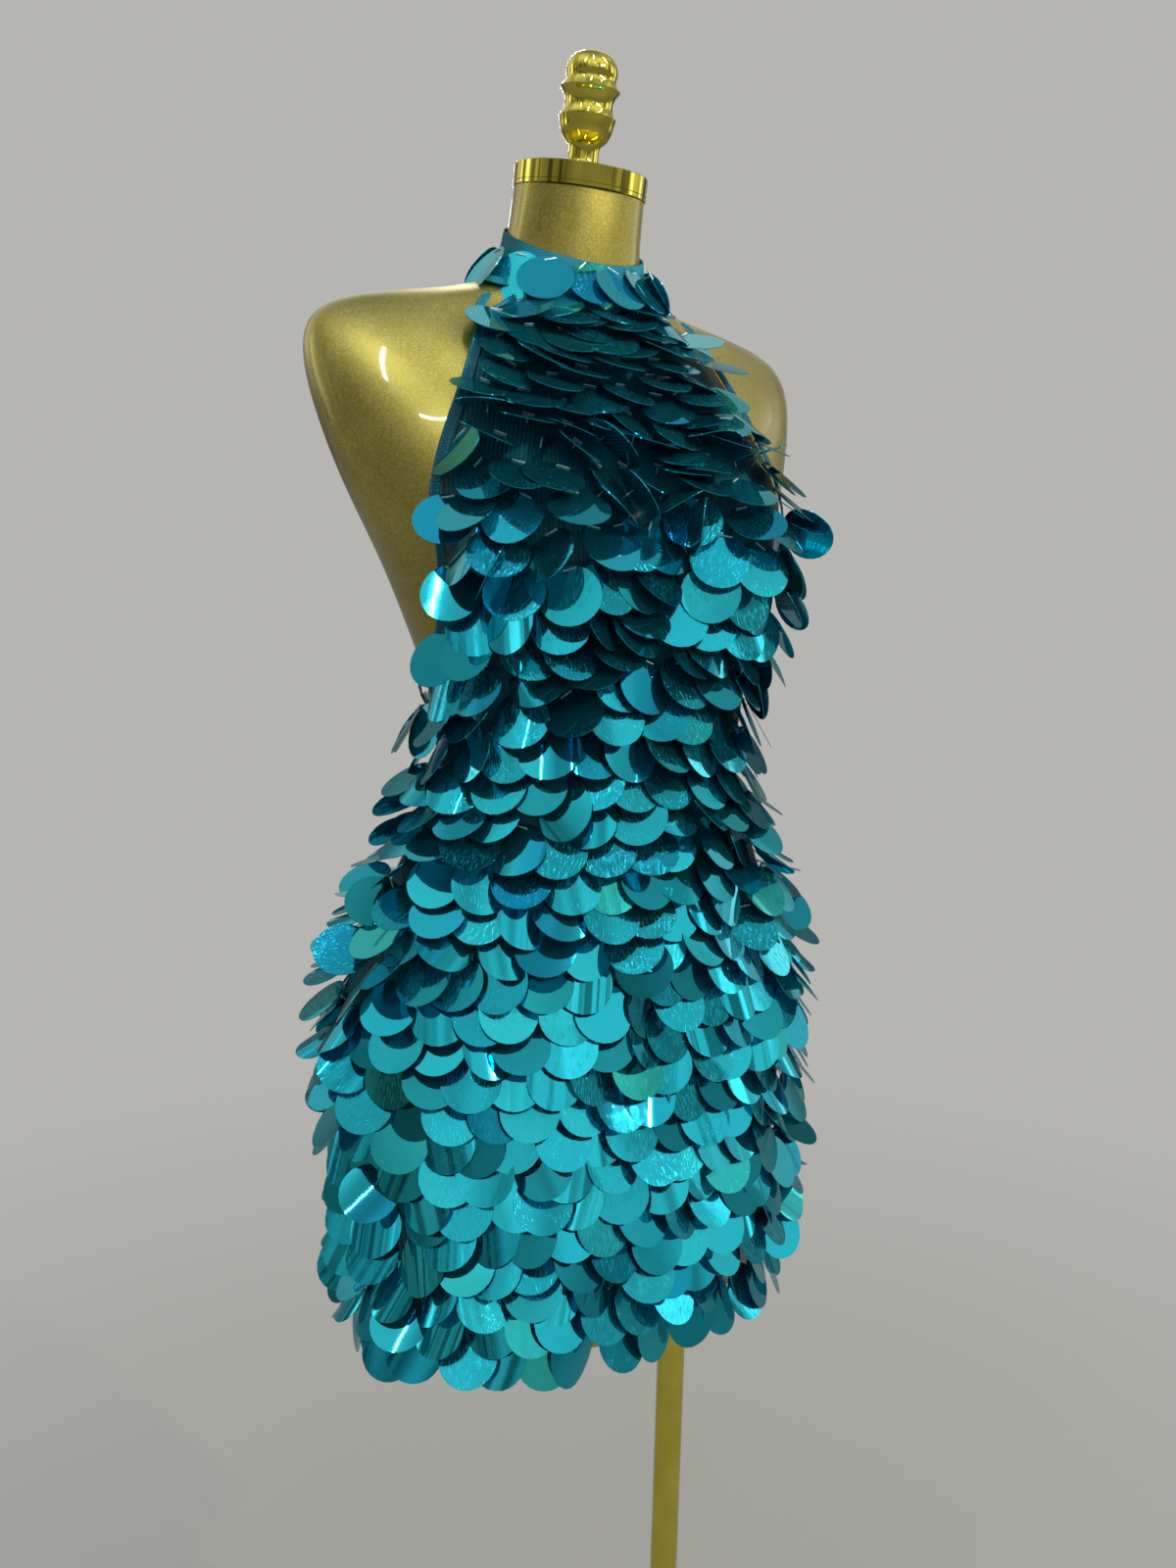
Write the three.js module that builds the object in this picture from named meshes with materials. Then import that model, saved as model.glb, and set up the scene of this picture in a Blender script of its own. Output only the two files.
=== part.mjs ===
// A halter mini dress covered in large round paillettes, shown on a limbless dress form on a pole stand.
// Millimetres, +Z up. The origin is the centre of the base's underside, on the floor.
// The figure faces -Y, and +X is its left side. The pole stands off the figure's middle, under its left hip.
import * as THREE from "three";

// ---- driving dimensions ----
const figureX = -91; // the figure's middle plane, to the right of the pole
const clothWall = 1.8; // the stretch ground of the dress
const clothEase = 2.6; // from the form to the inside of the cloth
const seamGap = 0.3; // between pieces that touch or are sewn together
const hemHeight = 626; // the cloth's lower edge, on average
const hemTilt = { rise: 8, angle: 60, until: 1000 }; // the hem rides up on the left of the front
const formBottom = 590; // the form's lower end
const neckTopHeight = 1466; // where the form's neck carries its cap
const collarSeam = { front: 1387, back: 1410 }; // heights where the collar meets the front
const collarTop = { front: 1419, back: 1445 };
const backEdge = { side: 1094, centre: 1002 }; // the back's upper edge dips at centre back
const sideGap = 0.12; // degrees, half of the gap at a side seam
const binding = { width: 8, thickness: 1.4 };
const button = { radius: 4.5, thickness: 2.6, lift: 0.6 };
const paillette = { diameter: 42, holeInset: 3, thickness: 1.2, standOff: 18 };
const tiers = { across: 40, pitch: 32.5, lowestTop: 643, highest: 1372, sideMargin: 6 };
const collarRow = { belowTop: 7, closure: 15 }; // mm below the collar's edge, degrees clear at centre back
const cap = { radius: 50.5, height: 16 };
const pole = { radius: 11.5, bottom: 9 };
const socket = { radius: 24, height: 14 };
const base = { radius: 190, thickness: 9, boss: 24, bossHeight: 40 };

// Stations of the figure, from its closed lower end to the neck's top. Each ring's centre lies "back" behind
// the axis, and "tip" is how far the ring leans forward, as a slope, so that the neck tilts.
// height, half width, depth to the front, depth to the back, back, tip, ease of the cloth
const stationColumns = ["height", "half", "front", "rear", "back", "tip", "ease"];
const stationRows = [
  [590, 124, 52, 82, 2, 0, 42],
  [606, 140, 66, 94, 3, 0, 24],
  [650, 152, 82, 104, 6, 0, 13],
  [730, 166, 94, 120, 10, 0, 6],
  [810, 177, 101, 132, 14, 0, 2],
  [868, 178, 101, 132, 14, 0, 0],
  [930, 156, 96, 104, 8, 0, 0],
  [1034, 114, 84, 76, 0, 0, 1],
  [1090, 122, 88, 84, 6, 0, 1],
  [1140, 138, 93, 92, 16, 0, 2],
  [1190, 156, 100, 98, 28, 0, 1.5],
  [1230, 174, 104, 98, 40, 0, 0.6],
  [1280, 193, 100, 92, 54, 0.02, 0],
  [1330, 205, 84, 78, 64, 0.04, 0],
  [1354, 202, 68, 64, 67, 0.05, 0],
  [1370, 188, 55, 54, 68, 0.06, 0],
  [1380, 160, 48, 50, 66, 0.08, 0],
  [1387, 118, 44, 48, 63, 0.12, 0],
  [1394, 82, 43, 46, 60, 0.17, 0],
  [1406, 60, 43, 45, 57, 0.21, 0],
  [1428, 51.5, 45, 46, 51, 0.23, 0],
  [1466, 50, 47.5, 47.5, 42, 0.23, 0],
];
// Soft forms on the front and the back of the figure, alike on both sides: distance from the middle plane,
// height, reach and depth.
const lobes = [
  { x: 82, height: 1204, above: 64, below: 42, across: 54, depth: 48, towards: -1 },
  { x: 72, height: 826, above: 66, below: 66, across: 60, depth: 26, towards: 1 },
];

// Half the width of the front, as an angle each side of centre front, at each height.
const frontSpanColumns = ["height", "span"];
const frontSpanRows = [
  [590, 90],
  [1094, 90],
  [1106, 79],
  [1130, 64],
  [1170, 57],
  [1216, 52],
  [1238, 47],
  [1286, 36],
  [1326, 29],
  [1358, 26],
  [1390, 30],
];

// How far a row of paillettes stands off the cloth at its stitches: more where the cloth is hollow.
const stitchLiftColumns = ["height", "lift"];
const stitchLiftRows = [
  [590, 0.8],
  [980, 0.9],
  [1030, 2.1],
  [1058, 1.7],
  [1090, 1.2],
  [1156, 1.35],
  [1189, 0.6],
  [1262, 0.7],
  [1387, 0.55],
  [1404, 1.3],
  [1440, 1.6],
];

// ---- curves through the tables ----
const degrees = Math.PI / 180;
const quarter = 90 * degrees;

// Catmull-Rom through one column of a table, so that the surface has no creases at the stations.
function columnAt(rows, column, height) {
  const last = rows.length - 1;
  const h = THREE.MathUtils.clamp(height, rows[0][0], rows[last][0]);
  let i = 0;
  while (i < last - 1 && rows[i + 1][0] < h) i++;
  const [h0, h1] = [rows[i][0], rows[i + 1][0]];
  const slopeAt = (k) => {
    const [a, b] = [Math.max(k - 1, 0), Math.min(k + 1, last)];
    return (rows[b][column] - rows[a][column]) / (rows[b][0] - rows[a][0]);
  };
  const t = (h - h0) / (h1 - h0);
  const span = h1 - h0;
  return (
    rows[i][column] * (1 + 2 * t) * (1 - t) ** 2 +
    span * slopeAt(i) * t * (1 - t) ** 2 +
    rows[i + 1][column] * t * t * (3 - 2 * t) +
    span * slopeAt(i + 1) * t * t * (t - 1)
  );
}
const station = (name, height) => columnAt(stationRows, stationColumns.indexOf(name), height);
const stitchLift = (height) => columnAt(stitchLiftRows, stitchLiftColumns.indexOf("lift"), height);
const frontSpan = (height) =>
  Math.min(columnAt(frontSpanRows, frontSpanColumns.indexOf("span"), height), 90) * degrees;

// A point of the figure, or of the cloth that stands "more" off it. The angle runs from its left side (0) by
// centre front (90) to its right side (180).
function figurePoint(height, angle, more = 0) {
  const [c, s] = [Math.cos(angle), Math.sin(angle)];
  const x = (station("half", height) + more) * c;
  let y = -s * (station(s > 0 ? "front" : "rear", height) + more);
  for (const lobe of lobes) {
    const reach = height > lobe.height ? lobe.above : lobe.below;
    const up = Math.exp(-(((height - lobe.height) / reach) ** 2));
    const bell = (distance) => Math.exp(-((distance / lobe.across) ** 2));
    const facing = Math.max(0, lobe.towards * -s);
    y += lobe.towards * lobe.depth * up * (bell(x - lobe.x) + bell(x + lobe.x)) * Math.sqrt(facing);
  }
  const z = height + station("tip", height) * y;
  return new THREE.Vector3(figureX + x, station("back", height) + y, z);
}

// The outward direction of the surface that stands "more" off the figure.
function outward(height, angle, more) {
  const step = 0.5;
  const across = figurePoint(height, angle + step * degrees, more);
  across.sub(figurePoint(height, angle - step * degrees, more));
  const up = figurePoint(height + step, angle, more).sub(figurePoint(height - step, angle, more));
  return new THREE.Vector3().crossVectors(up, across).normalize();
}
function offCloth(height, angle, distance) {
  const more = station("ease", height);
  return figurePoint(height, angle, more).addScaledVector(outward(height, angle, more), clothEase + distance);
}
const clothInside = (height, angle) => offCloth(height, angle, 0);
const clothOutside = (height, angle, lift = 0) => offCloth(height, angle, clothWall + lift);

// ---- solids from grids of points ----
function geometryOf(points, faces) {
  const geometry = new THREE.BufferGeometry();
  const positions = points.flatMap((p) => [p.x, p.y, p.z]);
  geometry.setAttribute("position", new THREE.Float32BufferAttribute(positions, 3));
  geometry.setIndex(faces.flat());
  geometry.computeVertexNormals();
  return geometry;
}

// A closed wall between an outer and an inner grid of rows. Rows run upwards, and columns run from the
// figure's left by its front to its right.
function wall(outer, inner) {
  const [rows, columns] = [outer.length, outer[0].length];
  const points = [...outer.flat(), ...inner.flat()];
  const innerStart = rows * columns;
  const faces = [];
  const quad = (a, b, c, d) => faces.push([a, b, c], [a, c, d]);
  for (let r = 0; r < rows - 1; r++) {
    for (let k = 0; k < columns - 1; k++) {
      const [a, b] = [r * columns + k, r * columns + k + 1];
      quad(b, a, a + columns, b + columns);
      quad(innerStart + a, innerStart + b, innerStart + b + columns, innerStart + a + columns);
    }
    const [first, last] = [r * columns, r * columns + columns - 1];
    quad(first + columns, first, innerStart + first, innerStart + first + columns);
    quad(last, last + columns, innerStart + last + columns, innerStart + last);
  }
  const top = (rows - 1) * columns;
  for (let k = 0; k < columns - 1; k++) {
    quad(k, k + 1, innerStart + k + 1, innerStart + k);
    quad(top + k + 1, top + k, innerStart + top + k, innerStart + top + k + 1);
  }
  return geometryOf(points, faces);
}

// A closed, capped solid through rings of points.
function loft(rings) {
  const sides = rings[0].length;
  const points = rings.flat();
  const faces = [];
  for (let r = 0; r < rings.length - 1; r++) {
    for (let k = 0; k < sides; k++) {
      const [a, b] = [r * sides + k, r * sides + ((k + 1) % sides)];
      faces.push([b, a, a + sides], [b, a + sides, b + sides]);
    }
  }
  const middle = (ring) => ring.reduce((sum, p) => sum.add(p), new THREE.Vector3()).divideScalar(ring.length);
  const [bottom, top] = [points.length, points.length + 1];
  points.push(middle(rings[0]), middle(rings.at(-1)));
  const topStart = (rings.length - 1) * sides;
  for (let k = 0; k < sides; k++) {
    const next = (k + 1) % sides;
    faces.push([bottom, k, next], [top, topStart + next, topStart + k]);
  }
  return geometryOf(points, faces);
}

const lerp = THREE.MathUtils.lerp;
const spread = (from, to, count) => Array.from({ length: count + 1 }, (_, i) => lerp(from, to, i / count));

// ---- materials ----
function paint(color, roughness, metalness) {
  return new THREE.MeshStandardMaterial({ color, roughness, metalness });
}
const materials = {
  mesh: paint(0x12616c, 0.75, 0),
  binding: paint(0x0c5a70, 0.55, 0),
  paillettes: paint(0x18a3b2, 0.15, 0.85),
  form: paint(0xa59545, 0.35, 0.8),
  gold: paint(0xc8b441, 0.08, 1),
};

const model = new THREE.Group();
function add(name, geometry, material, parent = model) {
  const mesh = new THREE.Mesh(geometry, material);
  mesh.name = name;
  parent.add(mesh);
  return mesh;
}

// ---- the dress form and its stand ----
function formGeometry() {
  const sides = 36;
  const heights = [
    formBottom, 597, 610, 640, 690, 740, 785, 826, 868, 915, 965, 1034, 1080, 1120, 1155, 1182, 1206, 1232,
    1262, 1295, 1325, 1348, 1364, 1376, 1385, 1394, 1406, 1428, neckTopHeight,
  ];
  const angles = spread(0, 360, sides).slice(0, sides);
  return loft(heights.map((height) => angles.map((angle) => figurePoint(height, angle * degrees))));
}

function lathe(profile, segments) {
  const points = profile.map(([r, z]) => new THREE.Vector2(r, z));
  return new THREE.LatheGeometry(points, segments).rotateX(Math.PI / 2);
}

function capGeometry() {
  const { radius, height } = cap;
  const edge = 1.5;
  return lathe([[0, 0], [radius, 0], [radius, height - edge], [radius - edge, height], [0, height]], 40);
}

// The finial's outline, from its foot up: radius and height.
const finialProfile = [
  [0, 0], [15.5, 0], [15.5, 2], [13, 4], [11.5, 7], [11.5, 15], [12, 17.5], [16.5, 22], [19.5, 28], [20, 32],
  [21.5, 36], [18.6, 41], [17.9, 46], [19.5, 50.5], [22.3, 54.5], [19.4, 59], [18.4, 61.5], [19.3, 66],
  [18.2, 71], [14.5, 76], [8, 79.2], [0, 80],
];

function standBaseGeometry() {
  const { radius, thickness, boss, bossHeight } = base;
  const inner = pole.radius + seamGap;
  const floorOfBore = pole.bottom - seamGap;
  return lathe(
    [
      [0, 0], [radius, 0], [radius, thickness - 3], [radius - 3, thickness - 0.5], [boss + 5, thickness],
      [boss, thickness + 5], [boss - 4, bossHeight], [inner, bossHeight], [inner, floorOfBore],
      [0, floorOfBore],
    ],
    48,
  );
}

function poleGeometry() {
  const { radius, bottom } = pole;
  const top = formBottom - seamGap;
  return lathe([[0, bottom], [radius, bottom], [radius, top], [0, top]], 28);
}

function socketGeometry() {
  const { radius, height } = socket;
  const inner = pole.radius + seamGap;
  const top = formBottom - seamGap;
  const bottom = top - height;
  return lathe(
    [
      [inner, bottom], [radius - 5, bottom], [radius - 3, bottom + 4], [radius, top - 3], [radius, top],
      [inner, top], [inner, bottom],
    ],
    28,
  );
}

// ---- the dress ----
// A wall whose rows of angles and heights are given by two functions of the way up and the way across.
function clothPanel(columns, rows, angleAt, heightAt) {
  const grid = (pointAt) =>
    spread(0, 1, rows).map((v) => spread(0, 1, columns).map((u) => pointAt(heightAt(u, v), angleAt(u, v))));
  return wall(grid(clothOutside), grid(clothInside));
}

// Collar heights at an angle: "at" holds the front's and the back's.
const collarHeight = (at, angle) => lerp(at.back, at.front, (1 + Math.sin(angle)) / 2);
const heightOnCollar = (share, angle) =>
  lerp(collarHeight(collarSeam, angle), collarHeight(collarTop, angle), share);
const frontTop = (angle) => collarHeight(collarSeam, angle) - seamGap;

// How far the hem's tilt moves the cloth's courses at a height: all of it at the hem, none from "until" up.
function tiltAt(height, angle) {
  const share = THREE.MathUtils.clamp((hemTilt.until - height) / (hemTilt.until - hemHeight), 0, 1);
  return hemTilt.rise * share * Math.cos(angle - hemTilt.angle * degrees);
}
const tilted = (height, angle) => height + tiltAt(height, angle);

function frontGeometry() {
  const span = (v) => frontSpan(lerp(hemHeight, collarSeam.front, v)) - sideGap * degrees;
  const angleAt = (u, v) => lerp(quarter - span(v), quarter + span(v), u);
  // The rows bend up at the top, so that the last one follows the collar.
  const heightAt = (u, v) => {
    const angle = angleAt(u, v);
    return tilted(lerp(hemHeight, lerp(collarSeam.front, frontTop(angle), v ** 6), v), angle);
  };
  return clothPanel(20, 31, angleAt, heightAt);
}

// The back runs from side to side behind, and its upper edge dips at centre back.
const backTop = (angle) => lerp(backEdge.side, backEdge.centre, Math.sin(angle) ** 2);
function backGeometry() {
  const angleAt = (u) => lerp(2 * quarter + sideGap * degrees, 4 * quarter - sideGap * degrees, u);
  const heightAt = (u, v) => tilted(lerp(hemHeight, backTop(angleAt(u)), v), angleAt(u));
  return clothPanel(18, 20, angleAt, heightAt);
}

// The collar closes at centre back, where its ends stand a little apart.
function collarGeometry() {
  const endGap = 1.2 * degrees;
  const angleAt = (u) => lerp(-quarter + endGap, 3 * quarter - endGap, u);
  return clothPanel(32, 3, angleAt, (u, v) => heightOnCollar(v, angleAt(u)));
}

// A flat strip on the cloth beside one of its edges. The edge is a list of heights and angles, and the cloth
// lies on its left as seen from outside when "leftwards" is 1.
function bindingGeometry(edge, leftwards) {
  const lift = seamGap + 0.3;
  const across = edge.map(([height, angle], i) => {
    const [before, after] = [edge[Math.max(i - 1, 0)], edge[Math.min(i + 1, edge.length - 1)]];
    const along = clothOutside(...after).sub(clothOutside(...before)).normalize();
    const perHeight = clothOutside(height + 0.5, angle).sub(clothOutside(height - 0.5, angle));
    const halfDegree = 0.5 * degrees;
    const perDegree = clothOutside(height, angle + halfDegree).sub(clothOutside(height, angle - halfDegree));
    const out = new THREE.Vector3().crossVectors(perHeight, perDegree).normalize();
    const inwards = new THREE.Vector3().crossVectors(out, along).multiplyScalar(leftwards * binding.width);
    const rise = inwards.dot(perHeight) / perHeight.lengthSq();
    const turn = (inwards.dot(perDegree) / perDegree.lengthSq()) * degrees;
    return [height + rise, angle + turn];
  });
  const ordered = leftwards > 0 ? [across, edge] : [edge, across];
  const grid = (more) => ordered.map((line) => line.map((place) => clothOutside(...place, more)));
  return wall(grid(lift + binding.thickness), grid(lift));
}

// The armhole's edge from the collar down to the side seam, on the side of the sign.
function armholeEdge(sign) {
  const insideEdge = 0.6 * degrees;
  const heights = spread(collarSeam.front - 6, backEdge.side + 2, 24);
  return heights.map((height) => [height, quarter + sign * (frontSpan(height) - insideEdge)]);
}
const backTopAngles = spread(2 * quarter + degrees, 4 * quarter - degrees, 24);
const backTopEdge = backTopAngles.map((angle) => [backTop(angle), angle]);

// ---- paillette rows ----
// Angles that divide a stretch of a ring evenly by its length.
function evenAngles(height, from, to, across) {
  const fine = spread(from, to, 180);
  const along = [0];
  for (let i = 1; i < fine.length; i++) {
    along.push(along[i - 1] + clothOutside(height, fine[i]).distanceTo(clothOutside(height, fine[i - 1])));
  }
  const count = Math.round(along.at(-1) / across);
  return spread(0, along.at(-1), count).map((length) => {
    const i = Math.max(1, along.findIndex((x) => x >= length - 1e-6));
    const t = (length - along[i - 1]) / (along[i] - along[i - 1]);
    return lerp(fine[i - 1], fine[i], t);
  });
}

// The height that lies a length of cloth below another, straight down the surface.
function heightBelow(top, angle, length) {
  const step = 3;
  let height = top;
  let left = length;
  let here = clothOutside(height, angle);
  while (left > 0) {
    const next = clothOutside(height - step, angle);
    const walked = here.distanceTo(next);
    height -= step * Math.min(1, left / walked);
    left -= walked;
    here = next;
  }
  return height;
}

// One row of flat discs side by side. Each is thin at its stitch and stands off the cloth at its foot.
function pailletteRow(angles, closed, topAt) {
  const count = angles.length - 1;
  const radius = paillette.diameter / 2;
  const drop = paillette.diameter - paillette.holeInset;
  const [firstTop, secondTop] = angles.slice(0, 2).map((angle) => clothOutside(topAt(angle), angle));
  const width = firstTop.distanceTo(secondTop);
  const cusp = drop - radius + Math.sqrt(Math.max(0, radius ** 2 - (width / 2) ** 2));
  const points = [];
  const place = (angle, down, out) => {
    const height = heightBelow(topAt(angle), angle, down);
    const lift = stitchLift(topAt(angle)) + (paillette.standOff * down) / drop;
    return points.push(clothOutside(height, angle, lift + out)) - 1;
  };
  const rimPoint = (angle, down) => ({
    outer: place(angle, down, paillette.thickness),
    inner: place(angle, down, 0),
  });
  const footInset = 0.27;
  const joints = angles.slice(0, closed ? count : count + 1).map((angle) => ({
    ...rimPoint(angle, cusp),
    upper: place(angle, 0, 0),
  }));
  const faces = [];
  for (let i = 0; i < count; i++) {
    const [start, end] = [joints[i], joints[(i + 1) % joints.length]];
    const between = (t) => lerp(angles[i], angles[i + 1], t);
    const [near, far] = [footInset, 1 - footInset].map((t) => rimPoint(between(t), drop - 1.5));
    const middle = place(between(0.5), 0, 0);
    for (const side of ["outer", "inner"]) {
      const rim = [start.upper, start[side], near[side], far[side], end[side], end.upper];
      for (let k = 0; k < rim.length - 1; k++) {
        faces.push(side === "outer" ? [middle, rim[k + 1], rim[k]] : [middle, rim[k], rim[k + 1]]);
      }
    }
    for (const [p, q] of [[start, near], [near, far], [far, end]]) {
      faces.push([p.outer, q.outer, q.inner], [p.outer, q.inner, p.inner]);
    }
  }
  if (!closed) {
    const [first, last] = [joints[0], joints.at(-1)];
    faces.push([first.upper, first.outer, first.inner], [last.upper, last.inner, last.outer]);
  }
  return geometryOf(points, faces);
}

// ---- assembly ----
add("form_torso", formGeometry(), materials.form);
const neckTop = new THREE.Group();
neckTop.position.set(figureX, station("back", neckTopHeight), neckTopHeight + seamGap);
neckTop.rotation.x = Math.atan(station("tip", neckTopHeight));
model.add(neckTop);
add("form_neck_cap", capGeometry(), materials.gold, neckTop);
const finial = add("form_finial", lathe(finialProfile, 24), materials.gold, neckTop);
finial.position.z = cap.height + seamGap;

add("stand_base", standBaseGeometry(), materials.gold);
add("stand_pole", poleGeometry(), materials.gold);
add("stand_socket", socketGeometry(), materials.gold);

add("dress_front", frontGeometry(), materials.mesh);
add("dress_back", backGeometry(), materials.mesh);
add("dress_collar", collarGeometry(), materials.mesh);
add("dress_binding_left", bindingGeometry(armholeEdge(-1), 1), materials.binding);
add("dress_binding_right", bindingGeometry(armholeEdge(1), -1), materials.binding);
add("dress_binding_back", bindingGeometry(backTopEdge, -1), materials.binding);

// Half of the angle that the cloth covers at a height, to the armhole's edge or the back's upper edge.
function coveredSpan(height) {
  if (height >= backEdge.side) return frontSpan(height);
  const dip = (backEdge.side - height) / (backEdge.side - backEdge.centre);
  return quarter + Math.asin(Math.sqrt(Math.min(1, dip)));
}

let rowNumber = 0;
for (let top = tiers.lowestTop; top <= tiers.highest; top += tiers.pitch) {
  rowNumber += 1;
  const closed = top <= backEdge.centre;
  const half = closed ? 2 * quarter : coveredSpan(top) - tiers.sideMargin / station("half", top);
  const angles = evenAngles(top, quarter - half, quarter + half, tiers.across);
  const stagger = closed && rowNumber % 2 ? (angles[1] - angles[0]) / 2 : 0;
  const turned = angles.map((angle) => angle + stagger);
  const row = pailletteRow(turned, closed, (angle) => tilted(top, angle));
  add(`paillettes_row_${rowNumber}`, row, materials.paillettes);
}

const rowOnCollar = (angle) => collarHeight(collarTop, angle) - collarRow.belowTop;
const closure = collarRow.closure * degrees;
const collarAngles = evenAngles(rowOnCollar(quarter), closure - quarter, 3 * quarter - closure, tiers.across);
add("paillettes_row_collar", pailletteRow(collarAngles, false, rowOnCollar), materials.paillettes);

// Two buttons beside the collar's opening at centre back.
for (const [name, share] of [["lower", 0.28], ["upper", 0.72]]) {
  const angle = -quarter + 6 * degrees;
  const height = heightOnCollar(share, angle);
  const axis = outward(height, angle, station("ease", height));
  const geometry = new THREE.CylinderGeometry(button.radius, button.radius, button.thickness, 20);
  const mesh = add(`dress_button_${name}`, geometry, materials.binding);
  mesh.quaternion.setFromUnitVectors(new THREE.Vector3(0, 1, 0), axis);
  mesh.position.copy(clothOutside(height, angle, button.lift + button.thickness / 2));
}

export default model;
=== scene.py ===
import math
import random
from functools import partial
from itertools import groupby

import bmesh
import bpy
import numpy as np
from mathutils import Matrix, Vector
from mathutils.bvhtree import BVHTree


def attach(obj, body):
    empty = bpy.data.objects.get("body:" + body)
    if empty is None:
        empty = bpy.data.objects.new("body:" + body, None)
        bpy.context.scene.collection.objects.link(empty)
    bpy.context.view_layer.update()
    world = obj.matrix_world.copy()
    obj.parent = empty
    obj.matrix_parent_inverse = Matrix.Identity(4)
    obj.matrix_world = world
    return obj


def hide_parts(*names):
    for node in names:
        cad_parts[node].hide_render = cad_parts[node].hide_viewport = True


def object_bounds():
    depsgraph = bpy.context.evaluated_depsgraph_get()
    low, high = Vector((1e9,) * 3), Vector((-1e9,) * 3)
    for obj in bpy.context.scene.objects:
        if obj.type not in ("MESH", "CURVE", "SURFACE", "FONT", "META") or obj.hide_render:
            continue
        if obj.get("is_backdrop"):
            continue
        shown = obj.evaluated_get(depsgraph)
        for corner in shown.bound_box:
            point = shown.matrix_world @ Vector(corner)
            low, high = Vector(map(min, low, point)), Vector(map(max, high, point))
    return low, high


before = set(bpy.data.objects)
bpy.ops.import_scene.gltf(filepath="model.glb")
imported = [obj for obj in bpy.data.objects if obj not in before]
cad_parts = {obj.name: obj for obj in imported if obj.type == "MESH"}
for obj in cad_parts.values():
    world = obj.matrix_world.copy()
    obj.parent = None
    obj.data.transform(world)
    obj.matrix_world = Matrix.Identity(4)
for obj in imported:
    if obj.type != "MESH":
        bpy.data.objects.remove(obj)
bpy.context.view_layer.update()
rng = random.Random(11)

mm = 0.001
figure = {
    "x": -0.091,  # the figure's middle plane; the pole is at x = 0
    # a line inside the figure, height to depth, that rays are cast towards
    "spine": [
        (0.59, 0.002), (0.87, 0.014), (1.03, 0.002), (1.14, 0.016), (1.23, 0.038), (1.33, 0.06),
        (1.385, 0.062), (1.43, 0.05), (1.47, 0.042),
    ],
    "seam": 1.387, "seamRise": 0.023,  # height of the collar's seam in front, and how much it rises to the back
    "collar": 1.395,  # places above this are on the collar
}


# small helpers
def linear(code):
    parts = [int(code[i : i + 2], 16) / 255 for i in (1, 3, 5)]
    return tuple(c / 12.92 if c <= 0.04045 else ((c + 0.055) / 1.055) ** 2.4 for c in parts) + (1,)


def enter(mode):
    bpy.ops.object.mode_set(mode=mode)


def startFresh():
    if bpy.context.object and bpy.context.object.mode != "OBJECT":
        enter("OBJECT")
    bpy.ops.object.select_all(action="DESELECT")


def pick(piece):
    startFresh()
    piece.select_set(True)
    bpy.context.view_layer.objects.active = piece


def applyModifier(piece, kind, **settings):
    pick(piece)
    modifier = piece.modifiers.new(kind.lower(), kind)
    for name, value in settings.items():
        setattr(modifier, name, value)
    bpy.ops.object.modifier_apply(modifier=modifier.name)


def smoothByAngle(piece, degrees):
    pick(piece)
    bpy.ops.object.shade_smooth_by_angle(angle=math.radians(degrees))


# Keeps the faces, edges or vertices that the test is true for selected, in edit mode.
def selectWhere(mesh, kind, test):
    bpy.ops.mesh.select_mode(type=kind[:-1].upper())
    bpy.ops.mesh.select_all(action="DESELECT")
    shape = bmesh.from_edit_mesh(mesh)
    for part in getattr(shape, kind):
        if test(part):
            part.select_set(True)
    shape.select_flush_mode()
    bmesh.update_edit_mesh(mesh)


# A copy of a CAD node's mesh with its loose triangles joined up into quads.
def mergedCopy(node, name):
    startFresh()
    piece = bpy.data.objects.new(name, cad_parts[node].data.copy())
    piece.data.materials.clear()
    bpy.context.scene.collection.objects.link(piece)
    pick(piece)
    enter("EDIT")
    bpy.ops.mesh.select_all(action="SELECT")
    bpy.ops.mesh.customdata_custom_splitnormals_clear()
    bpy.ops.mesh.remove_doubles(threshold=0.00003)
    bpy.ops.mesh.tris_convert_to_quads(face_threshold=math.pi, shape_threshold=math.pi)
    enter("OBJECT")
    return piece


def finish(piece, material, slot, *nodes, smooth):
    smoothByAngle(piece, smooth)
    piece.data.materials.clear()
    for one in material if isinstance(material, list) else [material]:
        piece.data.materials.append(one)
    if nodes:
        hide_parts(*nodes)
    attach(piece, "root")


# Links sockets to their sources, each a socket or a node whose first output is taken.
def feed(node, links):
    for socket, source in links.items():
        node.id_data.links.new(getattr(source, "outputs", [source])[0], node.inputs[socket])


# Adds a node with its settings, values and links. Stops are a ramp's places, with a colour or a grey each.
def addNode(tree, kind, values=None, links=None, stops=(), **settings):
    node = tree.nodes.new("ShaderNode" + kind)
    for name, value in settings.items():
        setattr(node, name, value)
    for number, (place, colour) in enumerate(stops):
        if number == len(node.color_ramp.elements):
            node.color_ramp.elements.new(1)
        stop = node.color_ramp.elements[number]
        stop.position = place
        stop.color = linear(colour) if isinstance(colour, str) else (colour,) * 3 + (1,)
    for socket, value in (values or {}).items():
        node.inputs[socket].default_value = value
    feed(node, links or {})
    return node


def newMaterial(name, **values):
    material = bpy.data.materials.new(name)
    material.use_nodes = True
    tree = material.node_tree
    surface = tree.nodes["Principled BSDF"]
    for socket, value in values.items():
        surface.inputs[socket.replace("_", " ")].default_value = value
    return material, partial(addNode, tree), surface


# Two directions at right angles, turned in their own plane.
def swung(a, b, angle):
    return math.cos(angle) * a + math.sin(angle) * b, math.cos(angle) * b - math.sin(angle) * a


def smoothStep(low, high, x):
    t = min(1, max(0, (x - low) / (high - low)))
    return t * t * (3 - 2 * t)


# One at a height, fading out above and below it.
def around(z, height, reach):
    return math.exp(-(((z - height) / reach) ** 2))


def pointsOf(piece):
    return np.array([v.co for v in piece.data.vertices])


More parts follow.
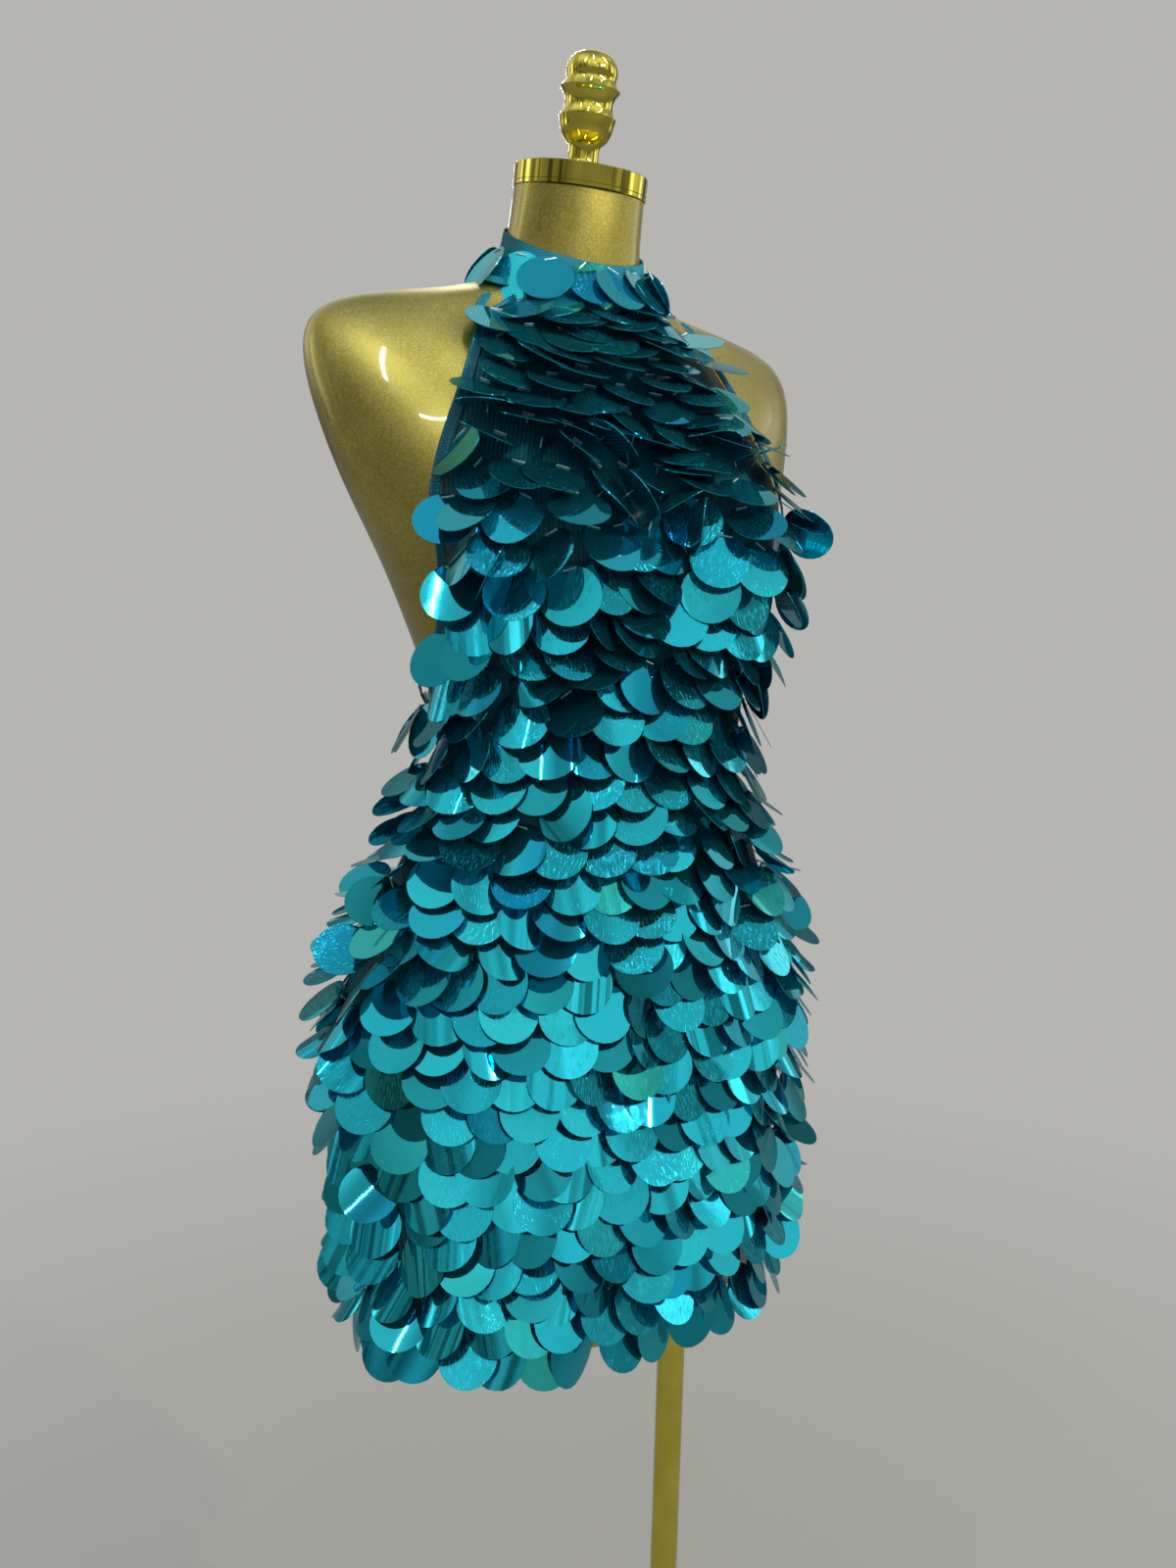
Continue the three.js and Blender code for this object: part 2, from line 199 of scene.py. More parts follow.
# Lengths along a line of places, from its first.
def lengthsAlong(line):
    return np.cumsum([0] + [(b[0] - a[0]).length for a, b in zip(line, line[1:])])


# Which vertex each corner of a mesh belongs to.
def cornerVertices(mesh):
    corner = np.empty(len(mesh.loops), int)
    mesh.loops.foreach_get("vertex_index", corner)
    return corner


def spineAt(z):
    return float(np.interp(z, *zip(*figure["spine"])))


# materials
filmLook = {
    "tones": [(0.1, "#169FC0"), (0.4, "#25BCD4"), (0.8, "#2FC9DA"), (0.98, "#32BBB4")],
    "seeThrough": 0.25, "through": "#2C93AE",
    "roughness": 0.04, "scratched": 0.5,
    "across": 42, "swell": 12, "patch": 18, "scratch": 0.45,  # mm
}


# Metallised polyester film, cut into discs: a hard mirror with a clear teal tint, faint handling scratches that
# catch the light, and a little light coming through.
def filmMaterial():
    material, add, surface = newMaterial("metallised_polyester_film", Metallic=0.93)
    tone = add("Attribute", attribute_name="tone").outputs["Fac"]
    wear = add("Attribute", attribute_name="wear").outputs["Fac"]
    where = add("UVMap", uv_map="film")  # one unit is a disc's width
    across = filmLook["across"]
    colour = add("ValToRGB", None, {"Fac": tone}, filmLook["tones"])
    # the film's own slow unevenness
    swell = add("TexNoise", {"Scale": across / filmLook["swell"], "Detail": 1.0}, {"Vector": where})
    low = add("Bump", {"Strength": 0.05, "Distance": 0.0006}, {"Height": swell})
    # handling scratches run mostly down the disc, drawn wide enough to show
    fine = across / filmLook["scratch"]
    stretch = {"Scale": (fine, fine / 16, 1), "Rotation": (0, 0, 0.35)}
    stretched = add("Mapping", stretch, {"Vector": where})
    scratch = add("TexNoise", {"Scale": 1.0, "Detail": 2.0}, {"Vector": stretched})
    lines = add("ValToRGB", None, {"Fac": scratch}, [(0.58, 0.0), (0.7, 1.0)])
    # in patches, on the discs that have seen wear
    patch = add("TexNoise", {"Scale": across / filmLook["patch"], "Detail": 2.0}, {"Vector": where})
    worn = add("Math", links={0: patch, 1: wear}, operation="MULTIPLY")
    worn = add("ValToRGB", None, {"Fac": worn}, [(0.18, 0.0), (0.36, 1.0)])
    marks = add("Math", links={0: lines, 1: worn}, operation="MULTIPLY")
    limits = {"To Min": filmLook["roughness"], "To Max": filmLook["scratched"]}
    rough = add("MapRange", limits, {"Value": marks})
    raised = add("Bump", {"Strength": 0.6, "Distance": 0.00006}, {"Height": marks, "Normal": low})
    feed(surface, {"Base Color": colour, "Roughness": rough, "Normal": raised})
    clear = add("BsdfTransparent", {"Color": linear(filmLook["through"])})
    mixed = add("MixShader", {0: filmLook["seeThrough"]}, {1: surface, 2: clear})
    feed(surface.id_data.nodes["Material Output"], {"Surface": mixed})
    return material


film = filmMaterial()


# A finish whose colour varies with a noise so many millimetres across.
def variedMaterial(name, across, grain, tones, **values):
    material, add, surface = newMaterial(name, **values)
    where = add("TexCoord").outputs["Object"]
    cloud = add("TexNoise", {"Scale": 1 / (across * mm), **grain}, {"Vector": where})
    feed(surface, {"Base Color": add("ValToRGB", None, {"Fac": cloud}, tones)})
    return material


# The cut edge of the film: glassy, its pale colour a painted highlight that gives each disc a fine light line
# round it.
edgeHighlightTones = [(0.3, "#2FA3AE"), (0.7, "#7FD3D6")]
cutEdgeHighlight = variedMaterial("cut_film_edge_painted_highlight", 2.5, {"Detail": 1.0}, edgeHighlightTones, Metallic=0.2, Roughness=0.25)


# A wave texture's scale for stripes so far apart.
def waveScale(spacing):
    return 1 / spacing / 2 * math.pi / 10


meshLook = {
    "yarn": "#0B5063", "yarnLight": "#1A7485", "rib": 1.5, "course": 1.1,  # mm
    "sheer": 0.4, "sheerCollar": 0.12, "uneven": 0.08,  # share seen through, and how much it varies
}


# Power mesh, a warp-knitted nylon and elastane net: fine upright ribs, half see-through where it is stretched,
# with a soft sheen.
def powerMeshMaterial():
    soft = {"Roughness": 0.62, "Specular_IOR_Level": 0.15, "Sheen_Weight": 0.05, "Sheen_Tint": linear("#2F8C96")}
    material, add, surface = newMaterial("power_mesh_knit", **soft)
    where = add("UVMap", uv_map="cloth")  # millimetres round and up
    ribs = {"Scale": waveScale(meshLook["rib"]), "Distortion": 0.6, "Detail": 1.0, "Detail Scale": 0.4}
    rib = add("TexWave", ribs, {"Vector": where}, bands_direction="X")
    courses = {"Scale": waveScale(meshLook["course"]), "Distortion": 0.8, "Detail": 1.0}
    course = add("TexWave", courses, {"Vector": where}, bands_direction="Y")
    knit = add("Math", {1: 0.35}, {0: course.outputs["Fac"]}, operation="MULTIPLY")
    knit = add("Math", links={0: rib.outputs["Fac"], 1: knit}, operation="ADD")
    yarns = [(0.2, meshLook["yarn"]), (1.0, meshLook["yarnLight"])]
    colour = add("ValToRGB", None, {"Fac": knit}, yarns)
    cover = 1 - meshLook["sheer"]
    limits = {"From Max": 1.3, "To Min": cover - 0.06, "To Max": cover + 0.06}
    cover = add("MapRange", limits, {"Value": knit})
    uneven = add("TexNoise", {"Scale": 1 / 40, "Detail": 3.0}, {"Vector": where})
    pull = {"From Min": 0.3, "From Max": 0.7, "To Min": -meshLook["uneven"], "To Max": meshLook["uneven"]}
    pull = add("MapRange", pull, {"Value": uneven})
    alpha = add("Math", links={0: cover, 1: pull}, operation="ADD")
    # the collar is two layers, which hide more of what is under them
    layers = add("Attribute", attribute_name="layers").outputs["Fac"]
    closer = meshLook["sheer"] - meshLook["sheerCollar"]
    more = add("Math", {1: closer}, {0: layers}, operation="MULTIPLY")
    alpha = add("Math", links={0: alpha, 1: more}, operation="ADD")
    raised = add("Bump", {"Strength": 0.25, "Distance": 0.0002}, {"Height": knit})
    feed(surface, {"Base Color": colour, "Alpha": alpha, "Normal": raised})
    return material


powerMesh = powerMeshMaterial()


# Folded satin elastic: a close weave across the tape with a low silky shine.
def tapeMaterial():
    material, add, surface = newMaterial("satin_elastic_tape", Roughness=0.55, Specular_IOR_Level=0.15)
    where = add("TexCoord").outputs["Object"]
    threads = {"Scale": waveScale(1.1 * mm), "Distortion": 1.0, "Detail": 2.0}
    weave = add("TexWave", threads, {"Vector": where}, bands_direction="Z").outputs["Fac"]
    cloud = add("TexNoise", {"Scale": 1 / (30 * mm), "Detail": 3.0}, {"Vector": where})
    mix = add("Math", links={0: weave, 1: cloud}, operation="MULTIPLY")
    colour = add("ValToRGB", None, {"Fac": mix}, [(0.1, "#05475A"), (0.6, "#0B6479")])
    raised = add("Bump", {"Strength": 0.4, "Distance": 0.00015}, {"Height": weave})
    feed(surface, {"Base Color": colour, "Normal": raised})
    return material


tape = tapeMaterial()

# Twisted polyester sewing thread: a lighter teal with a tight twist.
threadTones = [(0.3, "#0B5266"), (0.7, "#2B93A6")]
thread = variedMaterial("polyester_thread", 1.2, {"Detail": 1.0}, threadTones, Roughness=0.5, Sheen_Weight=0.2)

# Clear nylon tag pins: small glassy bars that catch a white glint.
nylonTones = [(0.3, "#9CC4C6"), (0.7, "#E4F1F0")]
nylon = variedMaterial("clear_nylon", 3, {}, nylonTones, Roughness=0.18, IOR=1.53, Alpha=0.75)

# Polyester shirt buttons: moulded, glossy, with a slightly milky depth.
gloss = {"Roughness": 0.2, "IOR": 1.55, "Coat_Weight": 0.3, "Coat_Roughness": 0.05}
milk = {"Detail": 3.0, "Distortion": 0.8}
castPolyester = variedMaterial("cast_polyester", 2.2, milk, [(0.3, "#07414F"), (0.7, "#1A7C8E")], **gloss)

paintLook = {
    "shade": "#8B7F33", "base": "#A99C47",
    # flakes: each flake's own tone, the pale end painted glints
    "flakes": [(0.2, "#887C32"), (0.55, "#A99C47"), (0.92, "#DAD084")],
    "flake": 0.8, "cloud": 55,  # mm, the flake drawn coarse enough to show
    "smoothest": 0.28, "roughest": 0.46,
}


# Gold metal-flake lacquer on fibreglass: a satin metal colour full of tiny flakes under a hard clear coat. The
# flakes' colours are partly their own random tone and partly painted glints.
def lacquerMaterial():
    coat = {"Metallic": 0.97, "Coat_Weight": 0.55, "Coat_Roughness": 0.05, "Coat_IOR": 1.5}
    material, add, surface = newMaterial("metal_flake_lacquer", **coat)
    where = add("TexCoord").outputs["Object"]
    flake = add("TexVoronoi", {"Scale": 1 / (paintLook["flake"] * mm)}, {"Vector": where})
    grey = add("RGBToBW", links={"Color": flake.outputs["Color"]})
    cloud = add("TexNoise", {"Scale": 1 / (paintLook["cloud"] * mm), "Detail": 2.0}, {"Vector": where})
    under = add("ValToRGB", None, {"Fac": cloud}, [(0.3, paintLook["shade"]), (0.7, paintLook["base"])])
    # each flake takes a colour at random: its own tone, with the brightest ones painted glints of flakes
    # catching the light
    flakeToneAndGlint = add("ValToRGB", None, {"Fac": grey}, paintLook["flakes"])
    both = add("Mix", {"Factor": 0.35}, {6: under, 7: flakeToneAndGlint}, data_type="RGBA")  # 6 and 7 are colours
    limits = {"To Min": paintLook["smoothest"], "To Max": paintLook["roughest"]}
    rough = add("MapRange", limits, {"Value": grey})
    tilt = add("Bump", {"Strength": 0.22, "Distance": 0.0003}, {"Height": grey})
    feed(surface, {"Base Color": both.outputs[2], "Roughness": rough, "Normal": tilt})
    return material


lacquer = lacquerMaterial()


# Brass-toned electroplate on steel: a clean mirror, with fine wipe marks and a few soft smudges.
def platingMaterial():
    material, add, surface = newMaterial("polished_gold_plate", Metallic=1.0, Base_Color=linear("#CDBF4E"))
    where = add("TexCoord").outputs["Object"]
    smudge = add("TexNoise", {"Scale": 1 / (35 * mm), "Detail": 3.0}, {"Vector": where})
    colour = add("ValToRGB", None, {"Fac": smudge}, [(0.3, "#C8B948"), (0.7, "#D8CA58")])
    limits = {"From Min": 0.35, "From Max": 0.75, "To Min": 0.05, "To Max": 0.1}
    rough = add("MapRange", limits, {"Value": smudge})
    wipe = add("Mapping", {"Scale": (1 / (2 * mm), 1 / (2 * mm), 1 / (40 * mm))}, {"Vector": where})
    fine = add("TexNoise", {"Scale": 1.0}, {"Vector": wipe})
    raised = add("Bump", {"Strength": 0.03, "Distance": 0.0001}, {"Height": fine})
    feed(surface, {"Base Color": colour, "Roughness": rough, "Normal": raised})
    return material


plating = platingMaterial()
print("materials made")


# the dress form
form = mergedCopy("form_torso", "form_torso_smooth")
pick(form)
enter("EDIT")
# the neck's top and the lower end keep their edges
flatEnd = lambda f: abs(f.normal.z) > 0.9 and not 0.6 < f.calc_center_median().z < 1.44
selectWhere(form.data, "edges", lambda e: len(e.link_faces) == 2 and sum(flatEnd(f) for f in e.link_faces) == 1)
bpy.ops.transform.edge_crease(value=1)
enter("OBJECT")
applyModifier(form, "SUBSURF", levels=2, render_levels=2)
finish(form, lacquer, "form_paint", "form_torso", smooth=50)
print("form", len(form.data.polygons))


# A turned piece: a ring drawn up its outline by extruding and scaling, closed at both ends.
def turned(name, outline, sides):
    startFresh()
    rings = [p for p in outline if p[0] > 0]
    (radius, low), *_ = rings
    place = (0, 0, low * mm)
    bpy.ops.mesh.primitive_circle_add(vertices=sides, radius=radius * mm, location=place, fill_type="NOTHING")
    piece = bpy.context.object
    piece.name = piece.data.name = name
    bpy.ops.object.transform_apply()
    enter("EDIT")
    bpy.ops.mesh.select_all(action="SELECT")
    bpy.ops.mesh.edge_face_add()
    bpy.ops.mesh.select_mode(type="FACE")
    for (r0, z0), (r1, z1) in zip(rings, rings[1:]):
        bpy.ops.mesh.extrude_region_move(TRANSFORM_OT_translate={"value": (0, 0, (z1 - z0) * mm)})
        bpy.ops.transform.resize(value=(r1 / r0, r1 / r0, 1), center_override=(0, 0, z1 * mm))
    bpy.ops.mesh.select_all(action="SELECT")
    bpy.ops.mesh.normals_make_consistent(inside=False)
    enter("OBJECT")
    return piece


# Points of a smooth outline through the given ones.
def smoothOutline(points, steps):
    fine, last = [], len(points) - 1
    for i in range(last):
        p0, p1, p2, p3 = (np.array(points[max(0, min(last, k))], float) for k in (i - 1, i, i + 1, i + 2))
        for t in (s / steps for s in range(steps)):
            square = (2 * p0 - 5 * p1 + 4 * p2 - p3) * t**2
            cube = (3 * p1 - p0 - 3 * p2 + p3) * t**3
            fine.append(tuple(0.5 * (2 * p1 + (p2 - p0) * t + square + cube)))
    return [(max(r, 0.2), z) for r, z in fine + [points[-1]]]


neck = {  # mm, outlines as radius and height from the neck's top
    "top": (-91, 42, 1466.3), "slope": 0.23, "finialUp": 16.3,
    "cap": [(49.9, 0), (50.5, 0.5), (50.5, 2.9), (50.15, 3.2), (50.5, 3.5), (50.5, 15.2), (49.7, 16), (6, 16)],
    "finial": [  # its foot, lower, middle and top stretch
        [(15.5, 0.02), (15.5, 1.6), (13.6, 3.2), (11.9, 6.5), (11.5, 11), (11.5, 15), (12.2, 17.6)],
        [(12.2, 17.6), (16.2, 21.2), (19.1, 26.4), (20.2, 31.4), (21.1, 34.6), (21.5, 36)],
        [(21.5, 36), (20.1, 37.8), (18.2, 42), (18.1, 46.4), (19.8, 51), (21.9, 53.8), (22.3, 54.6)],
        [
            (22.3, 54.6), (21.2, 56), (19.2, 59), (18.5, 61.6), (19.2, 66), (18, 71), (14.6, 75.8), (8.4, 79),
            (0.8, 80),
        ],
    ],
}


def onNeck(piece, up):
    piece.location = Vector(neck["top"]) * mm
    piece.rotation_euler = (math.atan(neck["slope"]), 0, 0)
    piece.location += piece.rotation_euler.to_matrix() @ Vector((0, 0, up * mm))
    pick(piece)
    bpy.ops.object.transform_apply()


cap = turned("neck_cap", neck["cap"], 96)
onNeck(cap, 0)
finish(cap, plating, "gold_plating", "form_neck_cap", smooth=28)
finialOutline = [point for stretch in neck["finial"] for point in smoothOutline(stretch, 3)[:-1]]
finial = turned("neck_finial", [*finialOutline, neck["finial"][-1][-1]], 64)
onNeck(finial, neck["finialUp"])
finish(finial, plating, "gold_plating", "form_finial", smooth=28)

stand = {  # mm, outlines as radius and height
    "base": [
        (189.2, 0), (190, 0.8), (190, 5.6), (189.2, 7.2), (187, 8.4), (183, 8.78), (181, 8.8), (31.5, 8.98),
        (29, 9.05), (25.5, 10.4), (24, 14), (22.6, 24), (20.6, 38.6), (19.6, 39.7), (18.4, 40), (11.8, 40),
        (11.8, 8.7),
    ],
    "pole": [(11.5, 9), (11.5, 120), (11.5, 360), (11.5, 589.7)],
    "socket": [
        (11.8, 575.7), (18.6, 575.7), (19.4, 576.4), (21, 579.7), (23.6, 585.2), (24, 586.6), (24, 589.7),
        (11.8, 589.7),
    ],
}
standParts = (("stand_foot", "base", 128), ("stand_upright", "pole", 48), ("stand_collar", "socket", 48))
for name, part, sides in standParts:
    finish(turned(name, stand[part], sides), plating, "gold_plating", f"stand_{part}", smooth=30)
print("stand made")


# the ground of the dress
ground = {
    "thickness": 0.7, "crease": 0.55, "creaseLength": 46, "radius": 150,  # mm, and the figure's mean radius
    "waist": 1.035, "hem": 0.614, "reach": 0.05,  # metres, where the creases are
    "hemFolds": 26, "hemCrease": 0.7,  # how many round, and how deep beside the waist's
    "edgeFace": 60e-6, "outward": 0.05,  # square metres and a cosine, which tell a solid's outer faces
}


def outwardFrom(point):
    return Vector((point.x - figure["x"], point.y - spineAt(point.z), 0)).normalized()


# The outer skin of a cloth solid, smoothed, creased a little and given the fabric's thickness inwards.
def clothShell(node, name, middleAngle, layers):
    shell = mergedCopy(node, name)
    pick(shell)
    enter("EDIT")
    inside = lambda f: f.normal.dot(outwardFrom(f.calc_center_median())) < ground["outward"]
    selectWhere(shell.data, "faces", lambda f: f.calc_area() < ground["edgeFace"] or inside(f))
    bpy.ops.mesh.delete(type="FACE")
    enter("OBJECT")
    applyModifier(shell, "SUBSURF", levels=2, render_levels=2, boundary_smooth="PRESERVE_CORNERS")
    co = pointsOf(shell)
    normals = np.array([v.normal for v in shell.data.vertices])
    angle = np.arctan2(co[:, 1] - np.array([spineAt(z) for z in co[:, 2]]), co[:, 0] - figure["x"])
    angle = (angle - middleAngle + math.pi) % (2 * math.pi) - math.pi
    # strain lines run round the waist and up from the hem, as shallow troughs between soft ridges
    height, length = co[:, 2], ground["creaseLength"] * mm
    fade = lambda level: np.exp(-(((height - ground[level]) / ground["reach"]) ** 2))
    wave = np.sin(height / length * 2 * math.pi + 1.7 * np.sin(angle * 3)) * fade("waist")
    wave += ground["hemCrease"] * np.sin(angle * ground["hemFolds"] + 40 * height) * fade("hem")
    moved = co + normals * (wave * ground["crease"] * mm)[:, None]
    shell.data.vertices.foreach_set("co", moved.astype(np.float32).ravel())
    # a map in millimetres, round the figure and up
    layer = shell.data.uv_layers.new(name="cloth")
    flat = np.stack([angle * ground["radius"], height * 1000], 1)[cornerVertices(shell.data)]
    layer.data.foreach_set("uv", flat.astype(np.float32).ravel())
    extra = shell.data.attributes.new("layers", "FLOAT", "POINT")
    extra.data.foreach_set("value", np.full(len(co), layers - 1, np.float32))
    applyModifier(shell, "SOLIDIFY", thickness=ground["thickness"] * mm, offset=-1)
    finish(shell, powerMesh, "ground_mesh", node, smooth=60)
    print(name, len(shell.data.polygons))
    return shell


front = clothShell("dress_front", "ground_front", -math.pi / 2, 1)
back = clothShell("dress_back", "ground_back", math.pi / 2, 1)
collar = clothShell("dress_collar", "ground_collar", -math.pi / 2, 2)


# The binding's tape, and the places and normals along its middle.
def bindingTape(node, name):
    piece = mergedCopy(node, name)
    outer = lambda f: f.normal.dot(outwardFrom(f.center)) > ground["outward"]
    long = [f for f in piece.data.polygons if f.area > ground["edgeFace"] and outer(f)]
    line = [(f.center.copy(), f.normal.copy()) for f in long]
    applyModifier(piece, "SUBSURF", levels=2, render_levels=2)
    finish(piece, tape, "binding_tape", node, smooth=70)
    return piece, line


# Points every so often along a line of places with normals.
def stepsAlong(line, pitch):
    run = lengthsAlong(line)
    places = []
    for at in np.arange(pitch, run[-1] - pitch / 2, pitch):
        i = int(np.searchsorted(run, at)) - 1
        t = (at - run[i]) / (run[i + 1] - run[i])
        along = (line[i + 1][0] - line[i][0]).normalized()
        normal = line[i][1].lerp(line[i + 1][1], t).normalized()
        places.append((line[i][0].lerp(line[i + 1][0], t), along, normal))
    return places


stitchLook = {"pitch": 3.8, "length": 2.6, "radius": 0.28, "fromMiddle": 2.7, "sunk": 0.1}  # mm, a little bold


# A small model to place many times, as points, faces and material numbers.
def smallPiece(make):
    startFresh()
    make()
    piece = bpy.context.object
    bpy.ops.object.transform_apply()
    co = pointsOf(piece)
    faces = [tuple(f.vertices) for f in piece.data.polygons]
    marks = [f.material_index for f in piece.data.polygons]
    bpy.data.objects.remove(piece)
    return {"co": co, "faces": faces, "marks": marks}


# One mesh from many placed copies. Each copy gives its own vertices.
def joined(name, model, copies):
    count = len(model["co"])
    faces = [tuple(v + i * count for v in f) for i in range(len(copies)) for f in model["faces"]]
    mesh = bpy.data.meshes.new(name)
    mesh.from_pydata(np.concatenate(copies).tolist(), [], faces)
    mesh.polygons.foreach_set("material_index", model["marks"] * len(copies))
    piece = bpy.data.objects.new(name, mesh)
    bpy.context.scene.collection.objects.link(piece)
    return piece


# A thin rod, along x or upright.
def rod(sides, radius, length, lying=True):
    turn = (0, math.pi / 2, 0) if lying else (0, 0, 0)
    size = {"vertices": sides, "radius": radius * mm, "depth": length * mm, "rotation": turn}
    return smallPiece(lambda: bpy.ops.mesh.primitive_cylinder_add(**size))


stitchModel = rod(6, stitchLook["radius"], stitchLook["length"])


# A model's points in a frame of its own.
def framed(co, origin, x, y, z):
    origin, x, y, z = (np.asarray(v) for v in (origin, x, y, z))
    return origin + co[:, :1] * x + co[:, 1:2] * y + co[:, 2:3] * z


for side, axis in (("left", 2), ("right", 2), ("back", 0)):
    piece, line = bindingTape(f"dress_binding_{side}", f"tape_{side}")
    line.sort(key=lambda p: p[0][axis])
    copies = []
    for place, along, normal in stepsAlong(line, stitchLook["pitch"] * mm):
        across = normal.cross(along).normalized()
        for sign in (-1, 1):
            at = place + across * sign * stitchLook["fromMiddle"] * mm - normal * stitchLook["sunk"] * mm
            copies.append(framed(stitchModel["co"], at, along, across, normal))
    stitches = joined(f"stitches_{side}", stitchModel, copies)
    finish(stitches, thread, "binding_tape", smooth=60)
    print(piece.name, len(copies), "stitches")


# buttons
buttonLook = {  # mm
    "radius": 4.5, "thickness": 2.6, "rim": 0.8, "dish": 0.5, "slope": 0.35, "rounding": 0.25,
    "hole": 0.75, "holeAt": 1.5, "strands": (-0.35, 0, 0.35), "strandsOver": 0.12,
    "strand": (1.25, 0.9, 0.9),  # beside a stitch
}
# the elastic loop, mm; it reaches this far past the opening's middle, on a collar of this radius
loopLook = {
    "radius": 5.1, "cord": 0.55, "past": 3.5, "collarRadius": 48,
    "tacks": (0.6, 1.2, 1.8), "tack": (1.4, 1, 1),
}


def shirtButton(node, name):
    co = pointsOf(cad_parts[node])
    middle = co.mean(0)
    axis = Vector(np.linalg.svd(co - middle)[2][-1])
    if axis.dot(outwardFrom(Vector(middle))) < 0:
        axis.negate()
    startFresh()
    r, t = buttonLook["radius"] * mm, buttonLook["thickness"] * mm
    bpy.ops.mesh.primitive_cylinder_add(vertices=40, radius=r, depth=t, end_fill_type="NGON")
    piece = bpy.context.object
    piece.name = piece.data.name = name
    enter("EDIT")
    selectWhere(piece.data, "faces", lambda f: f.normal.z > 0.9)
    bpy.ops.mesh.inset(thickness=buttonLook["rim"] * mm)
    bpy.ops.mesh.inset(thickness=buttonLook["slope"] * mm, depth=-buttonLook["dish"] * mm)
    selectWhere(piece.data, "edges", lambda e: len(e.link_faces) == 2 and e.calc_face_angle(0) > 1)
    bpy.ops.mesh.bevel(offset=buttonLook["rounding"] * mm, segments=2)
    enter("OBJECT")
    for k in range(4):  # four thread holes
        startFresh()
        a, out = math.radians(45 + 90 * k), buttonLook["holeAt"] * mm
        hole = {"radius": buttonLook["hole"] * mm, "location": (math.cos(a) * out, math.sin(a) * out, 0)}
        bpy.ops.mesh.primitive_cylinder_add(vertices=16, depth=3 * t, **hole)
        drill = bpy.context.object
        applyModifier(piece, "BOOLEAN", operation="DIFFERENCE", object=drill, solver="EXACT")
        bpy.data.objects.remove(drill)
    piece.rotation_mode = "QUATERNION"
    piece.rotation_quaternion = Vector((0, 0, 1)).rotation_difference(axis)
    piece.location = middle
    pick(piece)
    bpy.ops.object.transform_apply()
    finish(piece, castPolyester, "button_plastic", node, smooth=40)
    # crossed sewing thread over the holes
    x = axis.orthogonal().normalized()
    y = axis.cross(x)
    copies = []
    for a in (math.radians(45), math.radians(135)):
        way, _ = swung(x, y, a)
        side = axis.cross(way)
        for shift in buttonLook["strands"]:
            over = t / 2 - buttonLook["dish"] * mm + buttonLook["strandsOver"] * mm
            top = Vector(middle) + axis * over + side * shift * mm
            copies.append(framed(stitchModel["co"] * buttonLook["strand"], top, way, side, axis))
    # the elastic loop that holds it, drawn out over the opening to the other edge and tacked down there
    towards = Vector((math.copysign(1, figure["x"] - middle[0]), 0, 0))
    towards = (towards - axis * towards.dot(axis)).normalized()
    side = axis.cross(towards)
    reach = abs(figure["x"] - middle[0]) + loopLook["past"] * mm
    loopRadius, cord = loopLook["radius"] * mm, loopLook["cord"] * mm
    startFresh()
    segments = {"major_segments": 36, "minor_segments": 6}
    bpy.ops.mesh.primitive_torus_add(major_radius=loopRadius, minor_radius=cord, **segments)
    loop = bpy.context.object
    loop.name = loop.data.name = f"{name}_loop"
    co = pointsOf(loop)
    ahead = np.clip(co[:, 0] / loopRadius, 0, 1) ** 2
    long = co[:, 0] + (reach - loopRadius) * ahead
    level = co[:, 2] - long**2 / (2 * loopLook["collarRadius"] * mm)
    shaped = np.stack([long, co[:, 1] * (1 - 0.7 * ahead), level], 1)
    foot = Vector(middle) - axis * (t / 2 + 0.05 * mm)
    loop.data.vertices.foreach_set("co", framed(shaped, foot, towards, side, axis).astype(np.float32).ravel())
    finish(loop, thread, "binding_tape", smooth=60)
    for back in loopLook["tacks"]:  # stitches at its end
        at = reach - back * mm
        tack = foot + towards * at + axis * (cord - at**2 / (2 * loopLook["collarRadius"] * mm))
        copies.append(framed(stitchModel["co"] * loopLook["tack"], tack, side, towards, axis))
    sewing = joined(f"{name}_thread", stitchModel, copies)
    finish(sewing, thread, "binding_tape", smooth=60)
    return piece, sewing, loop


buttonPieces = [part for name in ("button_lower", "button_upper") for part in shirtButton(f"dress_{name}", name)]
print("buttons made")


# paillettes
paillette = {
    "radius": 21, "holeInset": 3, "thickness": 0.5, "sides": 24,
    "across": 27.6, "pitch": 22.8, "firstRow": 13, "edgeMargin": 3,  # mm along the cloth
    "lift": (3.0, 5.4),  # how far the hole hangs off the cloth, for every other disc
    "tone": (0.55, 0.17),  # mean and spread of the film's colour
}


def discShape():
    r = paillette["radius"] * mm
    bpy.ops.mesh.primitive_circle_add(vertices=paillette["sides"], radius=r, fill_type="NGON")
    piece = bpy.context.object
    enter("EDIT")
    # strips between upright cuts, so that the film can bend round an upright axis
    for step in range(1, paillette["sides"] // 2):
        x = r * math.cos(step * 2 * math.pi / paillette["sides"])
        bpy.ops.mesh.select_all(action="SELECT")
        bpy.ops.mesh.bisect(plane_co=(x, 0, 0), plane_no=(1, 0, 0), threshold=0.00002)
    enter("OBJECT")
    applyModifier(piece, "SOLIDIFY", thickness=paillette["thickness"] * mm, offset=0)
    for face in piece.data.polygons:  # the cut edge has its own finish, with a painted highlight
        face.material_index = 1 if abs(face.normal.z) < 0.5 else 0


disc = smallPiece(discShape)
print("disc", len(disc["faces"]))

# the ground's outer surface, to place the discs on
points, faces = [], []
for shell in (front, back, collar):
    start = len(points)
    points += [v.co.copy() for v in shell.data.vertices]
    faces += [tuple(v + start for v in f.vertices) for f in shell.data.polygons]
clothTree = BVHTree.FromPolygons(points, faces)


